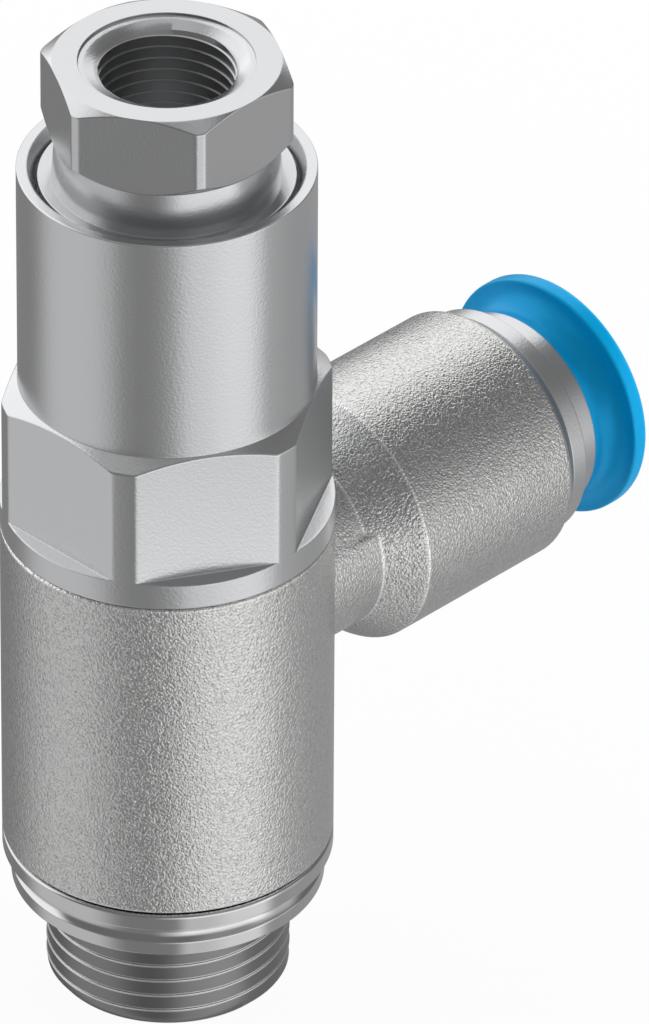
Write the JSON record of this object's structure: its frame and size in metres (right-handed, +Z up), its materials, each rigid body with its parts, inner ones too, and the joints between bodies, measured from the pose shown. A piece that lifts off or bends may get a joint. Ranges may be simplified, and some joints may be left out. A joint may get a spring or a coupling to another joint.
{
  "type": "pilot operated non-return valve",
  "caption": "Upright metal check valve with a male pipe thread below, a swivelling push-in tube outlet with a blue release ring, and a threaded pilot connector on top.",
  "frame": {"origin": "on the main axis, at the face that seats on the port, where the male thread begins", "axes": "+Z up the main axis from the male thread to the pilot connector, +X along the push-in outlet"},
  "size_m": [0.0618, 0.0284, 0.0912],
  "materials": {
    "machined_metal": "fine turned and milled, satin",
    "plated_brass": "nickel-plated, turned bright",
    "cast_metal": "die cast, orange-peel skin, nickel-plated",
    "bare_brass": "turned",
    "steel": "drawn stainless",
    "black_rubber": "matt elastomer",
    "white_plastic": "turned plastic",
    "blue_plastic": "moulded, semi-gloss"
  },
  "bodies": {
    "valve": {"valve_housing": "machined_metal", "thread_nipple": "plated_brass", "port_seal_ring": "black_rubber", "lower_swivel_oring": "black_rubber", "upper_swivel_oring": "black_rubber", "poppet_spring": "steel", "poppet_guide_star": "bare_brass", "rod_guide_bush": "bare_brass", "piston_return_spring": "steel", "connector_retaining_ring": "steel"},
    "swivel": {"swivel_body": "cast_metal", "tube_seal": "black_rubber", "seal_backing_ring": "white_plastic", "gripping_ring": "steel", "socket_cartridge": "plated_brass", "cartridge_cap": "plated_brass"},
    "release": {"release_ring": "blue_plastic"},
    "pilot_port": {"pilot_connector": "plated_brass", "connector_oring": "black_rubber"},
    "piston": {"pilot_piston": "machined_metal", "push_rod": "steel", "piston_oring": "black_rubber", "piston_guide_band": "white_plastic"},
    "poppet": {"check_poppet": "bare_brass", "poppet_seal_disc": "black_rubber", "poppet_clamp_screw": "steel"}
  },
  "joints": [
    {"name": "outlet_swivel", "type": "hinge", "parent": "valve", "child": "swivel", "pos_m": [0, 0, 0.0204], "axis": [0, 0, 1], "continuous": true},
    {"name": "pilot_swivel", "type": "hinge", "parent": "valve", "child": "pilot_port", "pos_m": [0, 0, 0.071], "axis": [0, 0, 1], "continuous": true},
    {"name": "tube_release", "type": "slide", "parent": "swivel", "child": "release", "axis": [-1, 0, 0], "range_m": [0, 0.0016], "stiffness_N_per_m": 500, "springref_m": -0.002},
    {"name": "pilot_stroke", "type": "slide", "parent": "valve", "child": "piston", "axis": [0, 0, -1], "range_m": [0, 0.0035], "stiffness_N_per_m": 1200, "springref_m": -0.006, "deforming": ["piston_return_spring"]},
    {"name": "poppet_lift", "type": "slide", "parent": "valve", "child": "poppet", "axis": [0, 0, -1], "range_m": [0, 0.0035], "stiffness_N_per_m": 300, "springref_m": -0.004, "deforming": ["poppet_spring"]}
  ],
  "couplings": [
    {"joint": "poppet_lift", "follows": "pilot_stroke", "ratio": 1}
  ]
}
